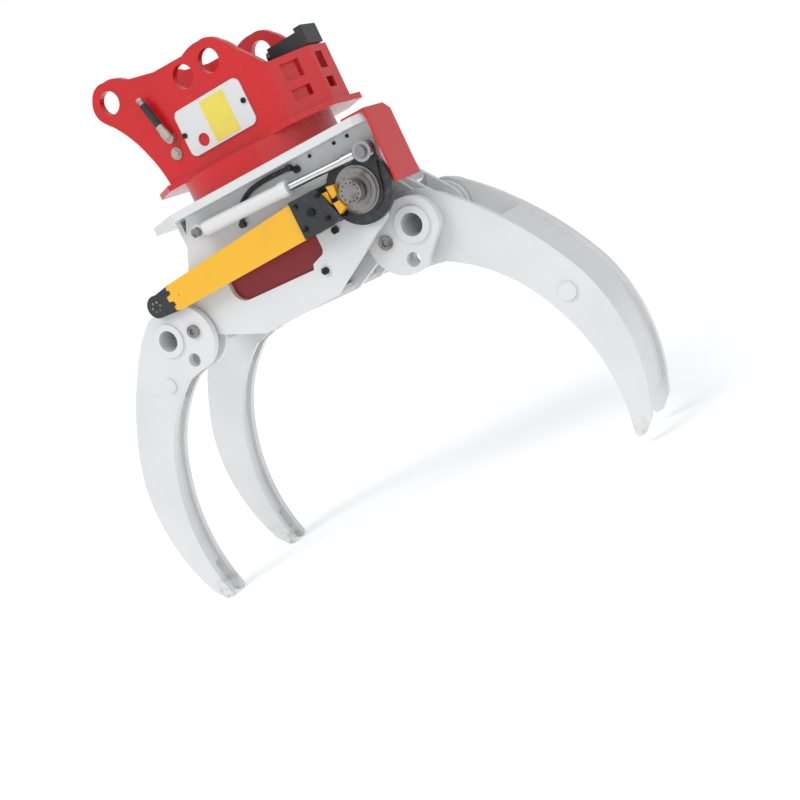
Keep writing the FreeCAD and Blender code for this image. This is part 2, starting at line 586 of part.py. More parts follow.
ring = new_body("slew_ring_inner", angle="0")
ring_section = new_sketch(ring, "XZ_Plane")
outline(ring_section, ring_corners("ring_root", "ring_outer", "top_low + top_plate_thick", "ring_high"))
ring_turn = ring.newObject("PartDesign::Revolution", "Revolution")
ring_turn.Profile = ring_section
ring_turn.ReferenceAxis = (ring_section, ["V_Axis"])
ring_turn.Angle = 360
ring_section.Visibility = False
ring_tooth = new_sketch(ring, "XY_Plane", "top_low + top_plate_thick")
outline(ring_tooth, [("- ring_root - ring_clearance", "- tooth_root_half"),
                     ("- ring_root - ring_clearance", "tooth_root_half"),
                     ("- ring_tip", "tooth_tip_half"), ("- ring_tip", "- tooth_tip_half")])
ring_tooth.AttachmentOffset = FreeCAD.Placement(
    ring_tooth.AttachmentOffset.Base, FreeCAD.Rotation(FreeCAD.Vector(0, 0, 1), 180 / sizes["teeth"]))
ring_tooth.setExpression("AttachmentOffset.Rotation.Angle", "180 / Sizes.teeth")
ring_tooth_pad = pad(ring, ring_tooth, "ring_high - top_low - top_plate_thick")
repeat_round(ring, ring_tooth_pad, ring_tooth, "teeth")
node(ring, "slew_ring_inner")

# ---------------------------------------------------------------- slewing frame
top = new_body("top_plate")
top_sketch = new_sketch(top, "XY_Plane", "top_low")
outline(top_sketch, top_outline)
circle(top_sketch, "0", "0", "top_opening")
pad(top, top_sketch, "top_plate_thick")
node(top, "top_plate")

frame = new_body("main_frame")
lug_holes = [("pivot_x", "0", "lug_bore"), ("- pivot_x", "0", "lug_bore")]
for is_far in (False, True):
    plate(frame, "lug_near", "lug_plate", lug_outline, lug_holes, far=is_far)
plate(frame, "side_near", "side_plate_thick", back_outline, far=True)
for is_far in (False, True):
    walls = new_sketch(frame, "XZ_Plane", "- side_near + side_plate_thick" if is_far else "lug_near")
    rectangle(walls, "- wall_x", "wall_plate - wall_x", "wall_low", "top_low")
    rectangle(walls, "wall_x - wall_plate", "wall_x", "wall_low", "top_low")
    pad(frame, walls, "side_near - side_plate_thick - lug_near")
floor = new_sketch(frame, "XZ_Plane", "side_plate_thick - side_near")
rectangle(floor, "- floor_left", "floor_right", "floor_low", "floor_low + floor_plate")
pad(frame, floor, "side_near + side_near - side_plate_thick - side_plate_thick")
node(frame, "main_frame")

base = new_body("saw_base_plate")
plate(base, "side_near", "side_plate_thick", side_outline, [("saw_x", "saw_z", "saw_shaft + clearance")])
slot = new_sketch(base, "XZ_Plane", "side_near - side_plate_thick")
outline(slot, slot_outline)
slot_cut = pad(base, slot, "side_plate_thick", "PartDesign::Pocket")
slot_cut.Reversed = True
node(base, "saw_base_plate")

bushes = []
for side in (1, -1):
    for near in ("- lug_near", "lug_near - lug_plate"):
        outer = across_pin(minus("pivot_x", side), "0", near, "lug_plate", "lug_bore")
        inner = across_pin(minus("pivot_x", side), "0", near, "lug_plate", "tube_radius + running_fit")
        bush = doc.addObject("Part::Cut", "Bush")
        bush.Base = outer
        bush.Tool = inner
        bushes.append(bush)
node(join(bushes, "Part::Compound"), "pivot_bushes")

tank = new_body("oil_tank")
tank_corners = [("tank_left", "tank_low"), ("tank_right", "tank_low"), ("tank_right", "tank_high"),
                ("tank_left", "tank_high")]
tank_pad = plate(tank, "side_near - side_plate_thick", "tank_depth", tank_corners)
round_edges(tank, tank_pad, corner_spots(tank_corners, (0, 1)), "tank_corner")
node(tank, "oil_tank")

front_face = "- side_near"
heads = [hex_head(x, z, f"{front_face} - bolt_height", "bolt_radius", "bolt_height") for x, z in base_bolts]
node(join(heads, "Part::Compound"), "base_plate_bolts")
heads = [across_pin(x, z, f"{front_face} - small_screw_height", "small_screw_height", "small_screw")
         for x, z in base_screws]
node(join(heads, "Part::Compound"), "base_plate_screws")

ring_bolts = []
for degrees in (0, 40, 60, 120, 140, 180, 220, 240, 300, 320):
    head = doc.addObject("Part::Prism", "Hexagon")
    head.Polygon = 6
    place(head, "0", "0", "top_low - bolt_height")
    for axis, turn in (("x", f"cos({degrees})"), ("y", f"sin({degrees})")):
        shift = " + Sizes.origin_x" if axis == "x" else ""
        head.setExpression(f"Placement.Base.{axis}", f"Sizes.ring_bolt_circle * {turn}{shift}")
    bind(head, "Circumradius", "ring_bolt_radius")
    bind(head, "Height", "bolt_height")
    ring_bolts.append(head)
node(join(ring_bolts, "Part::Compound"), "ring_bolts")

guard = new_body("saw_guard")
guard_wall = new_sketch(guard, "YZ_Plane", "guard_x")
outline(guard_wall, [("- guard_near", "guard_low"), ("- guard_far", "guard_low"),
                     ("- guard_far", "guard_top - guard_fold_z"),
                     ("- guard_far - guard_fold_y", "guard_top"), ("- guard_near", "guard_top")])
pad(guard, guard_wall, "guard_sheet")
guard_strip = new_sketch(guard, "XZ_Plane", "guard_far + guard_fold_y")
rectangle(guard_strip, "guard_strip_x", "guard_x", "top_low + top_plate_thick", "guard_top")
pad(guard, guard_strip, "guard_near - guard_far - guard_fold_y")
node(guard, "saw_guard")

housing_place = {"x": "saw_x", "z": "saw_z"}
turned("swing_housing", ring_corners("saw_shaft + clearance", "housing_radius",
                                     "- side_near - housing_depth", "- side_near"), housing_place)
turned("saw_motor", [("saw_shaft + clearance", "side_plate_thick - side_near"),
                     ("motor_pan", "side_plate_thick - side_near"),
                     ("motor_pan", "side_plate_thick + motor_pan_depth - side_near"),
                     ("0", "side_plate_thick + motor_pan_depth - side_near"),
                     ("0", "side_plate_thick + housing_depth - side_near"),
                     ("saw_shaft + clearance", "side_plate_thick + housing_depth - side_near")],
       housing_place)
barrel_stud = [
    across_pin("saw_barrel_x", "saw_barrel_z", "- stud_face - stud_head_height",
               "stud_face + stud_head_height - side_near", "stud_radius"),
    across_pin("saw_barrel_x", "saw_barrel_z", "- rod_line + saw_eye_half + clearance",
               "rod_line - saw_eye_half - clearance - side_near", "stud_collar"),
    hex_head("saw_barrel_x", "saw_barrel_z", "- stud_face - stud_head_height", "stud_head",
             "stud_head_height")]
node(join(barrel_stud), "barrel_stud")

hose_corners = [FreeCAD.Vector(value(h) + sizes["origin_x"], value("hose_y"), value(v) + sizes["origin_z"])
                for h, v in hose_route]
hose_edges = []
hose_from = hose_corners[0]
for before, corner, after in zip(hose_corners, hose_corners[1:], hose_corners[2:]):
    back = before.sub(corner)
    ahead = after.sub(corner)
    setback = sizes["hose_bend"] * min(back.Length, ahead.Length)
    bend = math.pi - back.getAngle(ahead)
    enter = corner.add(back.normalize() * setback)
    leave = corner.add(ahead.normalize() * setback)
    inward = back.add(ahead).normalize()
    radius = setback / math.tan(bend / 2)
    apex = corner.add(inward * (radius / math.cos(bend / 2) - radius))
    hose_edges += [Part.LineSegment(hose_from, enter).toShape(), Part.Arc(enter, apex, leave).toShape()]
    hose_from = leave
hose_edges.append(Part.LineSegment(hose_from, hose_corners[-1]).toShape())
hose_way = hose_corners[1].sub(hose_corners[0])
hose_section = Part.Circle(hose_corners[0], hose_way, sizes["hose_radius"]).toShape()
hose = doc.addObject("Part::Feature", "Hose")
hose.Shape = Part.Wire(hose_edges).makePipeShell([Part.Wire(hose_section)], True, True)
unions = [across_pin(x, z, "hose_y - union_height", "union_height - side_near - hose_y", "union_radius")
          for x, z in (hose_route[0], hose_route[-1])]
node(join([hose] + unions), "saw_hose")

# ---------------------------------------------------------------- tines
tine_places = {"left": {"x": "- pivot_x", "angle": "- left_lean"}, "right": {"x": "pivot_x"}}
arm_holes = [("0", "0", "tube_radius"), ("- ear_hole_h", "ear_hole_v", "ear_hole")]
for name, is_far in (("left_arm_near", False), ("left_arm_far", True)):
    arm = new_body(name, **tine_places["left"])
    plate(arm, "left_ear_near", "left_ear_plate", arm_outline, arm_holes, -1, is_far)
    plate(arm, "left_ear_near - left_ear_plate", "left_ear_near - left_ear_plate - left_inner_near",
          core_outline, (), -1, is_far)
    plate(arm, "left_inner_near", "left_inner_plate", arm_outline, arm_holes, -1, is_far)
    node(arm, name)

arm = new_body("right_arm", **tine_places["right"])
for is_far in (False, True):
    plate(arm, "right_arm_near", "right_arm_plate", arm_outline, arm_holes, 1, is_far)
core_half = "right_arm_near - right_arm_plate"
plate(arm, core_half, f"{core_half} + {core_half}", core_outline)
node(arm, "right_arm")
for name, is_far in (("right_ear_near", False), ("right_ear_far", True)):
    ear = new_body(name, **tine_places["right"])
    plate(ear, "right_ear_near", "right_ear_plate", ear_outline, arm_holes, 1, is_far)
    node(ear, name)
bosses = new_body("right_hub_bosses", **tine_places["right"])
for is_far in (False, True):
    plate(bosses, "right_ear_near - right_ear_plate", "right_ear_near - right_ear_plate - right_arm_near",
          (), [("0", "0", "tube_radius"), ("0", "0", "hub_boss")], 1, is_far)
node(bosses, "right_hub_bosses")

for tine, ear_near in (("left", "left_ear_near"), ("right", "right_ear_near")):
    side = -1 if tine == "left" else 1
    half = f"{ear_near} + tube_overhang"
    turned(f"{tine}_torque_tube", ring_corners("tube_bore", "tube_radius", minus(half, -1), half),
           {"x": minus("pivot_x", side)})
    cranks = new_body(f"{tine}_cranks", x=minus("pivot_x", side), angle=minus("crank_lean", -side))
    for is_far in (False, True):
        plate(cranks, "crank_near", "crank_plate", crank_outline,
              [("0", "0", "tube_radius"), ("0", "crank_reach", "crank_pin")], 1, is_far)
    node(cranks, f"{tine}_cranks")
    node(across_pin(minus("pivot_x - crank_pin_h", side), "crank_pin_v", "- crank_near",
                    "crank_near + crank_near", "crank_pin"), f"{tine}_crank_pin")
    bolts = new_body(f"{tine}_ear_bolts", **tine_places[tine])
    spot = [("- ear_bolt_h", "ear_bolt_v")]
    for is_far in (False, True):
        foot = f"{ear_near} + ear_bolt_height - ear_bolt_socket_depth"
        plate(bolts, foot, "ear_bolt_height - ear_bolt_socket_depth", (),
              [("- ear_bolt_h", "ear_bolt_v", "ear_bolt")], side, is_far)
        plate(bolts, f"{ear_near} + ear_bolt_height", "ear_bolt_socket_depth", (),
              [("- ear_bolt_h", "ear_bolt_v", "ear_bolt"), ("- ear_bolt_h", "ear_bolt_v", "ear_bolt_socket")],
              side, is_far)
    node(bolts, f"{tine}_ear_bolts")
    pads = new_body(f"{tine}_arm_pads", **tine_places[tine])
    face = "left_ear_near" if tine == "left" else "right_arm_near"
    for is_far in (False, True):
        plate(pads, f"{face} + {tine}_pad_height", f"{tine}_pad_height", (),
              [(f"{tine}_pad_h", f"{tine}_pad_v", f"{tine}_pad")], side, is_far)
    node(pads, f"{tine}_arm_pads")

# ---------------------------------------------------------------- grapple cylinder
cylinder_place = {"x": "crank_pin_h - pivot_x", "z": "crank_pin_v"}


def turned_along_x(name, corners, where):
    body = new_body(name, **where)
    sketch = new_sketch(body, "XZ_Plane")
    outline(sketch, corners)
    feature = body.newObject("PartDesign::Revolution", "Revolution")
    feature.Profile = sketch
    feature.ReferenceAxis = (sketch, ["H_Axis"])
    feature.Angle = 360
    sketch.Visibility = False
    return body


barrel = turned_along_x("grapple_barrel", [
    ("barrel_start", "0"), ("barrel_cap", "0"), ("barrel_cap", "barrel_bore"), ("barrel_end", "barrel_bore"),
    ("barrel_end", "barrel_radius"), ("barrel_start", "barrel_radius")], cylinder_place)
plate(barrel, "cylinder_eye_half", "cylinder_eye_half + cylinder_eye_half", (),
      [("0", "0", "barrel_eye"), ("0", "0", "crank_pin + running_fit")])
neck = new_sketch(barrel, "XZ_Plane", "- cylinder_eye_half")
rectangle(neck, "barrel_neck", "barrel_start", "- barrel_neck", "barrel_neck")
pad(barrel, neck, "cylinder_eye_half + cylinder_eye_half")
node(barrel, "grapple_barrel")
gland = turned_along_x("grapple_gland", [
    ("barrel_end", "rod_radius + running_fit"), ("gland_end", "rod_radius + running_fit"),
    ("gland_end", "gland_radius"), ("barrel_end", "gland_radius")], cylinder_place)
node(gland, "grapple_gland")
eye_place = "pivot_x + pivot_x - crank_pin_h - crank_pin_h"
rod = turned_along_x("grapple_rod", [
    ("piston_start", "0"), (f"{eye_place} - rod_eye", "0"), (f"{eye_place} - rod_eye", "rod_neck"),
    (f"{eye_place} - rod_eye - rod_neck", "rod_neck"), (f"{eye_place} - rod_eye - rod_neck", "rod_radius"),
    ("piston_end", "rod_radius"), ("piston_end", "barrel_bore - running_fit"),
    ("piston_start", "barrel_bore - running_fit")], cylinder_place)
plate(rod, "cylinder_eye_half", "cylinder_eye_half + cylinder_eye_half", (),
      [(eye_place, "0", "rod_eye"), (eye_place, "0", "crank_pin + rod_eye_gap")])
neck = new_sketch(rod, "XZ_Plane", "- rod_radius")
rectangle(neck, f"{eye_place} - rod_eye - running_fit", f"{eye_place} - rod_neck", "- rod_radius",
          "rod_radius")
pad(rod, neck, "rod_radius + rod_radius")
node(rod, "grapple_rod")

# ---------------------------------------------------------------- swinging saw arm
saw_arm = new_body("saw_arm")
plate(saw_arm, "arm_face", "arm_plate", saw_arm_outline, [("saw_x", "saw_z", "saw_shaft + clearance")])
plate(saw_arm, "eye_back", "eye_back - arm_face", (), [("eye_x", "eye_z", "eye_spacer")])
node(saw_arm, "saw_arm")
eye_pin = [
    across_pin("eye_x", "eye_z", "- eye_face - eye_pin_head_height",
               "eye_pin_head_height + eye_face - rod_line + eye_half", "eye_pin"),
    across_pin("eye_x", "eye_z", "- eye_face - eye_pin_head_height", "eye_pin_head_height", "eye_pin_head")]
node(join(eye_pin), "saw_eye_pin")
turned("saw_rings", [
    ("saw_shaft + clearance", "- ring_c_face"), ("ring_c", "- ring_c_face"), ("ring_c", "- ring_b_face"),
    ("ring_b", "- ring_b_face"), ("ring_b", "- ring_a_face"), ("ring_a", "- ring_a_face"),
    ("ring_a", "- arm_face"), ("saw_shaft + clearance", "- arm_face")], housing_place)
for name, outer, thickness in (("bar_clamp_back", "arm_face + clamp_back_plate", "clamp_back_plate"),
                               ("bar_clamp_front", "clamp_face", "clamp_plate")):
    piece = new_body(name)
    plate(piece, outer, thickness, clamp_outline)
    node(piece, name)
tensioners = new_body("bar_tensioners")
for corners in (tail_upper, tail_lower):
    plate(tensioners, "ring_b_face + tail_height", "tail_height", corners)
node(tensioners, "bar_tensioners")
bar = new_body("guide_bar")
plate(bar, "bar_face", "bar_plate", bar_outline, [("hole_x", "hole_z", "bar_hole")])
node(bar, "guide_bar")
nose = new_body("bar_nose")
plate(nose, "bar_face + nose_lip", "nose_plate", nose_outline)
node(nose, "bar_nose")
rivets = new_body("nose_rivets", x="nose_x", z="nose_z")
rivet_pad = plate(rivets, "bar_face + nose_lip + rivet_height", "rivet_height", (),
                  [("rivet_circle", "0", "rivet_radius")])
repeat_round(rivets, rivet_pad, rivet_pad.Profile[0], "rivets")
node(rivets, "nose_rivets")
clamp_bolts = [across_pin("clamp_bolt_x", "clamp_bolt_z", "- clamp_face - clamp_bolt_height",
                          "clamp_bolt_height", "clamp_bolt")]
for sign_x in "+-":
    for sign_z in "+-":
        clamp_bolts.append(across_pin(
            f"clamp_bolt_x {sign_x} clamp_small_x", f"clamp_bolt_z {sign_z} clamp_small_z",
            "- clamp_face - clamp_bolt_height", "clamp_bolt_height", "clamp_small"))
node(join(clamp_bolts, "Part::Compound"), "clamp_bolts")

sprocket = turned("saw_sprocket", [
    ("0", "- sprocket_face"), ("sprocket_radius", "- sprocket_face"), ("sprocket_radius", "- sprocket_back"),
    ("sprocket_neck", "- sprocket_back"), ("sprocket_neck", "- ring_c_face - clearance"),
    ("saw_shaft", "- ring_c_face - clearance"),
    ("saw_shaft", "side_plate_thick + housing_depth - side_near - clearance"),
    ("0", "side_plate_thick + housing_depth - side_near - clearance")], housing_place)
drill = new_sketch(sprocket, "XZ_Plane", "sprocket_face")
circle(drill, "sprocket_hole_circle", "0", "sprocket_hole")
drilled = pad(sprocket, drill, "sprocket_hole_depth", "PartDesign::Pocket")
repeat_round(sprocket, drilled, drill, "sprocket_holes")

# ---------------------------------------------------------------- saw swing cylinder
saw_cylinder_place = {"x": "saw_barrel_x", "y": "- rod_line", "z": "saw_barrel_z", "angle": "saw_tilt"}
saw_barrel = turned_along_x("saw_barrel", [
    ("saw_barrel_start", "0"), ("saw_barrel_start + saw_eye_half", "0"),
    ("saw_barrel_start + saw_eye_half", "saw_barrel_bore"), ("saw_gland_start", "saw_barrel_bore"),
    ("saw_gland_start", "saw_rod + running_fit"), ("saw_barrel_end", "saw_rod + running_fit"),
    ("saw_barrel_end", "saw_gland"), ("saw_gland_start - saw_eye_half", "saw_gland"),
    ("saw_gland_start - saw_eye_half", "saw_barrel"),
    ("saw_barrel_start", "saw_barrel")], saw_cylinder_place)
plate(saw_barrel, "saw_eye_half", "saw_eye_half + saw_eye_half", (),
      [("0", "0", "saw_eye"), ("0", "0", "stud_radius + running_fit")])
neck = new_sketch(saw_barrel, "XZ_Plane", "- saw_eye_half")
rectangle(neck, "saw_neck", "saw_barrel_start", "- saw_neck", "saw_neck")
pad(saw_barrel, neck, "saw_eye_half + saw_eye_half")
node(saw_barrel, "saw_barrel")
saw_rod = turned_along_x("saw_rod", [
    ("saw_piston_start", "0"), ("saw_reach - eye_radius + nose_lip", "0"),
    ("saw_reach - eye_radius + nose_lip", "fitting_radius"), ("fitting_start", "fitting_radius"),
    ("fitting_start", "saw_rod"), ("saw_piston_end", "saw_rod"),
    ("saw_piston_end", "saw_barrel_bore - running_fit"),
    ("saw_piston_start", "saw_barrel_bore - running_fit")], saw_cylinder_place)
plate(saw_rod, "eye_half", "eye_half + eye_half", (),
      [("saw_reach", "0", "eye_radius"), ("saw_reach", "0", "eye_bearing")])
node(saw_rod, "saw_rod")
bearing = new_body("saw_eye_bearing", **saw_cylinder_place)
plate(bearing, "eye_half", "eye_half + eye_half", (),
      [("saw_reach", "0", "eye_bearing"), ("saw_reach", "0", "eye_pin + running_fit")])
node(bearing, "saw_eye_bearing")

doc.recompute()
for item in doc.Objects:
    if "Invalid" in item.State or "Error" in item.State:
        raise RuntimeError(f"{item.Name} {item.Label} is not valid: {item.State}")
facets = 0
for item in finished:
    shape = item.Shape
    if shape.isNull() or not shape.isValid() or not shape.Solids:
        raise RuntimeError(f"{item.Label} has no valid solid")
    shape.exportStep(f"parts/{item.Label}.step")
    count = len(shape.tessellate(0.5)[1])
    facets += count
    print(item.Label, len(shape.Solids), round(shape.Volume / 1000), count)
print("nodes", len(finished), "facets", facets)
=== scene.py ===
import math

import bmesh
import bpy
from mathutils import Matrix, Vector
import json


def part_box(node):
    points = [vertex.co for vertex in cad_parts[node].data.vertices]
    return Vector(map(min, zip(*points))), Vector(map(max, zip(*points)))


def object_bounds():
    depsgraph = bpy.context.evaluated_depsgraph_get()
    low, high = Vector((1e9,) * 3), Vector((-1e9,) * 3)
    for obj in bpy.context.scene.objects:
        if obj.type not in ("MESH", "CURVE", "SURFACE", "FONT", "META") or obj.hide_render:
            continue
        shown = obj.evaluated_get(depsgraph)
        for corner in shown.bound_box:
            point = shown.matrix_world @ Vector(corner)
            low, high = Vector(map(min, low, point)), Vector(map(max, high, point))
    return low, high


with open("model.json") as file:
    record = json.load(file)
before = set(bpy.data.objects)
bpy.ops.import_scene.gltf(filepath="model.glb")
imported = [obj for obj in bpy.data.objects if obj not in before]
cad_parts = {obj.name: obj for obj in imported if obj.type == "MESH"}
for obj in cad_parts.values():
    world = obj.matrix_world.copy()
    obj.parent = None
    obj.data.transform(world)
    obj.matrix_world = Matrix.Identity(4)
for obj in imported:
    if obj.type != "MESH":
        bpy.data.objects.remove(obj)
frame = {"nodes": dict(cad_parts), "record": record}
cad_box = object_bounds()
nodes = frame["nodes"]
record = frame["record"]


# ---------------------------------------------------------------- places on the part
def middle(node):
    low, high = (Vector(corner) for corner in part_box(node))
    return (low + high) / 2


slew_axis = middle("drum")
floor_level = cad_box[0][2]


# ---------------------------------------------------------------- shader arithmetic
class Field:
    """A value that varies over a surface, with arithmetic that makes shader nodes."""

    def __init__(self, tree, socket):
        self.tree = tree
        self.socket = socket

    def node(self, kind, **settings):
        made = self.tree.nodes.new(kind)
        for name, value in settings.items():
            setattr(made, name, value)
        return made

    def plug(self, socket, value):
        if isinstance(value, Field):
            self.tree.links.new(value.socket, socket)
        else:
            socket.default_value = value

    def maths(self, operation, *values, clamp=False):
        made = self.node("ShaderNodeMath", operation=operation, use_clamp=clamp)
        for socket, value in zip(made.inputs, values):
            self.plug(socket, value)
        return Field(self.tree, made.outputs[0])

    def __add__(self, other):
        return self.maths("ADD", self, other)

    __radd__ = __add__

    def __sub__(self, other):
        return self.maths("SUBTRACT", self, other)

    def __rsub__(self, other):
        return self.maths("SUBTRACT", other, self)

    def __mul__(self, other):
        return self.maths("MULTIPLY", self, other)

    __rmul__ = __mul__

    def clamped(self):
        return self.maths("ADD", self, 0.0, clamp=True)

    def above(self, low, high):
        """0 below low, 1 above high, smooth between."""
        made = self.node("ShaderNodeMapRange", interpolation_type="SMOOTHSTEP")
        for socket, value in zip(made.inputs, (self, low, high, 0.0, 1.0)):
            self.plug(socket, value)
        return Field(self.tree, made.outputs[0])


coat_roughness = 0.12


class Surface:
    """One material: a Principled shader with fields that read the object's own coordinates."""

    def __init__(self, name, colour, roughness, metallic=0.0, coat=0.0):
        self.material = bpy.data.materials.new(name)
        self.material.use_nodes = True
        self.material.diffuse_color = (*colour, 1)
        self.tree = self.material.node_tree
        self.shader = self.tree.nodes["Principled BSDF"]
        self.coordinates = self.tree.nodes.new("ShaderNodeTexCoord").outputs["Object"]
        self.shader.inputs["Base Color"].default_value = (*colour, 1)
        self.shader.inputs["Roughness"].default_value = roughness
        self.shader.inputs["Metallic"].default_value = metallic
        self.shader.inputs["Coat Weight"].default_value = coat
        self.shader.inputs["Coat Roughness"].default_value = coat_roughness
        self.colour = None
        self.start_colour = colour
        self.heights = []

    def stretched(self, scale):
        made = self.tree.nodes.new("ShaderNodeMapping")
        made.inputs["Scale"].default_value = scale
        self.tree.links.new(self.coordinates, made.inputs["Vector"])
        return made.outputs[0]

    def noise(self, scale, detail=3.0, roughness=0.55, distortion=0.0, stretch=None):
        made = self.tree.nodes.new("ShaderNodeTexNoise")
        made.inputs["Scale"].default_value = scale
        made.inputs["Detail"].default_value = detail
        made.inputs["Roughness"].default_value = roughness
        made.inputs["Distortion"].default_value = distortion
        self.tree.links.new(self.stretched(stretch) if stretch else self.coordinates, made.inputs["Vector"])
        return Field(self.tree, made.outputs["Fac"])

    def cells(self, scale, feature="F1", stretch=None):
        made = self.tree.nodes.new("ShaderNodeTexVoronoi")
        made.feature = feature
        made.inputs["Scale"].default_value = scale
        self.tree.links.new(self.stretched(stretch) if stretch else self.coordinates, made.inputs["Vector"])
        return Field(self.tree, made.outputs["Distance"])

    def place(self, axis):
        made = self.tree.nodes.new("ShaderNodeSeparateXYZ")
        self.tree.links.new(self.coordinates, made.inputs[0])
        return Field(self.tree, made.outputs["XYZ".index(axis)])

    def paint(self, colour, amount):
        """Lay a colour over what is there, by a field from 0 to 1."""
        made = self.tree.nodes.new("ShaderNodeMix")
        made.data_type = "RGBA"
        colours = [socket for socket in made.inputs if socket.type == "RGBA"]
        if self.colour is None:
            colours[0].default_value = (*self.start_colour, 1)
        else:
            self.tree.links.new(self.colour, colours[0])
        colours[1].default_value = (*colour, 1)
        self.tree.links.new(amount.socket, made.inputs["Factor"])
        self.colour = [socket for socket in made.outputs if socket.type == "RGBA"][0]
        self.tree.links.new(self.colour, self.shader.inputs["Base Color"])
        return self

    def rough(self, field):
        self.tree.links.new(field.clamped().socket, self.shader.inputs["Roughness"])
        return self

    def metal(self, field):
        self.tree.links.new(field.clamped().socket, self.shader.inputs["Metallic"])
        return self

    def relief(self, field, depth):
        """Bump of a given depth in metres."""
        made = self.tree.nodes.new("ShaderNodeBump")
        made.inputs["Strength"].default_value = 1.0
        made.inputs["Distance"].default_value = depth
        self.tree.links.new(field.socket, made.inputs["Height"])
        if self.heights:
            self.tree.links.new(self.heights[-1].outputs[0], made.inputs["Normal"])
        self.heights.append(made)
        self.tree.links.new(made.outputs[0], self.shader.inputs["Normal"])
        return self


# ---------------------------------------------------------------- materials
orange_peel = {"scale": 260, "depth": 0.00022}
panel_waves = {"scale": 11, "depth": 0.0012}
chip_depth = 0.0004


def painted(name, colour, gloss, shade, dust, chips, chip_colour, dusty=0.5):
    """Sprayed steel: faint mottling, dust in broad patches, small chips and orange peel."""
    surface = Surface(name, colour, gloss, coat=0.25)
    broad = surface.noise(scale=3.2, detail=4)
    fine = surface.noise(scale=38, detail=5, roughness=0.62)
    surface.paint(shade, broad.above(0.42, 0.72) * 0.55)
    surface.paint(dust, (fine * broad).above(0.27, 0.46) * dusty)
    specks = surface.cells(scale=46).above(0.035, 0.075)
    chipped = (1 - specks) * surface.noise(scale=7, detail=3).above(chips, chips + 0.09)
    surface.paint(chip_colour, chipped)
    surface.rough(gloss + (fine - 0.5) * 0.3 + chipped * 0.3)
    surface.relief(surface.noise(orange_peel["scale"], detail=2), orange_peel["depth"])
    surface.relief(surface.noise(panel_waves["scale"], detail=2), panel_waves["depth"])
    surface.relief(1 - chipped, chip_depth)
    return surface


def streaks(surface, colour, scale, stretch, low, high, strength):
    """Long scuffs in one direction."""
    lines = surface.noise(scale, 4, 0.7, 0.2, stretch)
    surface.paint(colour, lines.above(low, high) * strength)
    return surface


def white_paint():
    surface = painted("white_paint", colour=(0.70, 0.705, 0.70), gloss=0.34, shade=(0.64, 0.65, 0.65),
                      dust=(0.60, 0.595, 0.575), chips=0.76, chip_colour=(0.28, 0.25, 0.22), dusty=0.25)
    streaks(surface, colour=(0.50, 0.49, 0.46), scale=9, stretch=(1, 1, 9), low=0.72, high=0.84,
            strength=0.25)
    height = surface.place("Z") - floor_level
    splashes = surface.noise(scale=24, detail=5, roughness=0.7).above(0.46, 0.64)
    earth = (1 - height.above(0.01, 0.12)) * splashes
    surface.paint((0.27, 0.23, 0.19), earth * 0.6)
    return surface.material


def red_paint():
    surface = painted("red_paint", colour=(0.60, 0.012, 0.014), gloss=0.28, shade=(0.50, 0.010, 0.013),
                      dust=(0.62, 0.03, 0.03), chips=0.82, chip_colour=(0.20, 0.02, 0.02), dusty=0.2)
    return surface.material


# Red paint made darker: painted shade, a shaded copy of red_paint for red parts sitting in recesses, such
# as the tank seen through the slot in the base plate.
def dark_red_paint():
    surface = painted("dark_red_paint", colour=(0.27, 0.006, 0.012), gloss=0.42,
                      shade=(0.19, 0.006, 0.010), dust=(0.31, 0.03, 0.03), chips=0.7,
                      chip_colour=(0.08, 0.02, 0.02))
    return surface.material


def black_paint():
    surface = painted("black_paint", colour=(0.018, 0.019, 0.023), gloss=0.42,
                      shade=(0.028, 0.029, 0.034), dust=(0.085, 0.082, 0.078), chips=0.63,
                      chip_colour=(0.36, 0.35, 0.33))
    streaks(surface, colour=(0.20, 0.195, 0.19), scale=15, stretch=(1, 1, 6), low=0.63, high=0.74,
            strength=0.5)
    return surface.material


def yellow_paint():
    surface = painted("yellow_paint", colour=(0.86, 0.46, 0.016), gloss=0.38, shade=(0.80, 0.41, 0.012),
                      dust=(0.74, 0.40, 0.05), chips=0.72, chip_colour=(0.12, 0.09, 0.05))
    streaks(surface, colour=(0.56, 0.32, 0.05), scale=10, stretch=(0.7, 1, 14), low=0.67, high=0.8,
            strength=0.4)
    return surface.material


def orange_paint():
    surface = painted("orange_paint", colour=(0.84, 0.40, 0.012), gloss=0.42, shade=(0.72, 0.32, 0.012),
                      dust=(0.30, 0.17, 0.05), chips=0.55, chip_colour=(0.07, 0.05, 0.03))
    return surface.material


def worn_steel():
    surface = Surface("worn_steel", (0.33, 0.32, 0.305), 0.38, metallic=1.0)
    grain = surface.noise(scale=60, detail=5, roughness=0.65)
    stain = surface.noise(scale=15, detail=4, roughness=0.6)
    surface.paint((0.17, 0.155, 0.14), stain.above(0.47, 0.66) * 0.8)
    rust = (stain * grain).above(0.29, 0.40)
    surface.paint((0.16, 0.075, 0.035), rust * 0.7)
    surface.metal(1 - rust * 0.8)
    surface.rough(0.33 + stain * 0.2 + rust * 0.3)
    surface.relief(grain, depth=0.0003)
    return surface.material


def dark_steel():
    surface = Surface("dark_steel", (0.030, 0.029, 0.028), 0.4, metallic=0.9)
    surface.paint((0.11, 0.10, 0.09), surface.noise(scale=55, detail=4).above(0.5, 0.7) * 0.6)
    surface.rough(0.36 + surface.noise(scale=30, detail=3) * 0.2)
    surface.relief(surface.noise(scale=180, detail=2), depth=0.0002)
    return surface.material


def plated_steel():
    surface = Surface("plated_steel", (0.58, 0.55, 0.49), 0.3, metallic=1.0)
    surface.paint((0.42, 0.36, 0.26), surface.noise(scale=35, detail=4).above(0.45, 0.65) * 0.6)
    surface.rough(0.26 + surface.noise(scale=90, detail=3) * 0.2)
    surface.relief(surface.noise(scale=140, detail=3), depth=0.0002)
    return surface.material


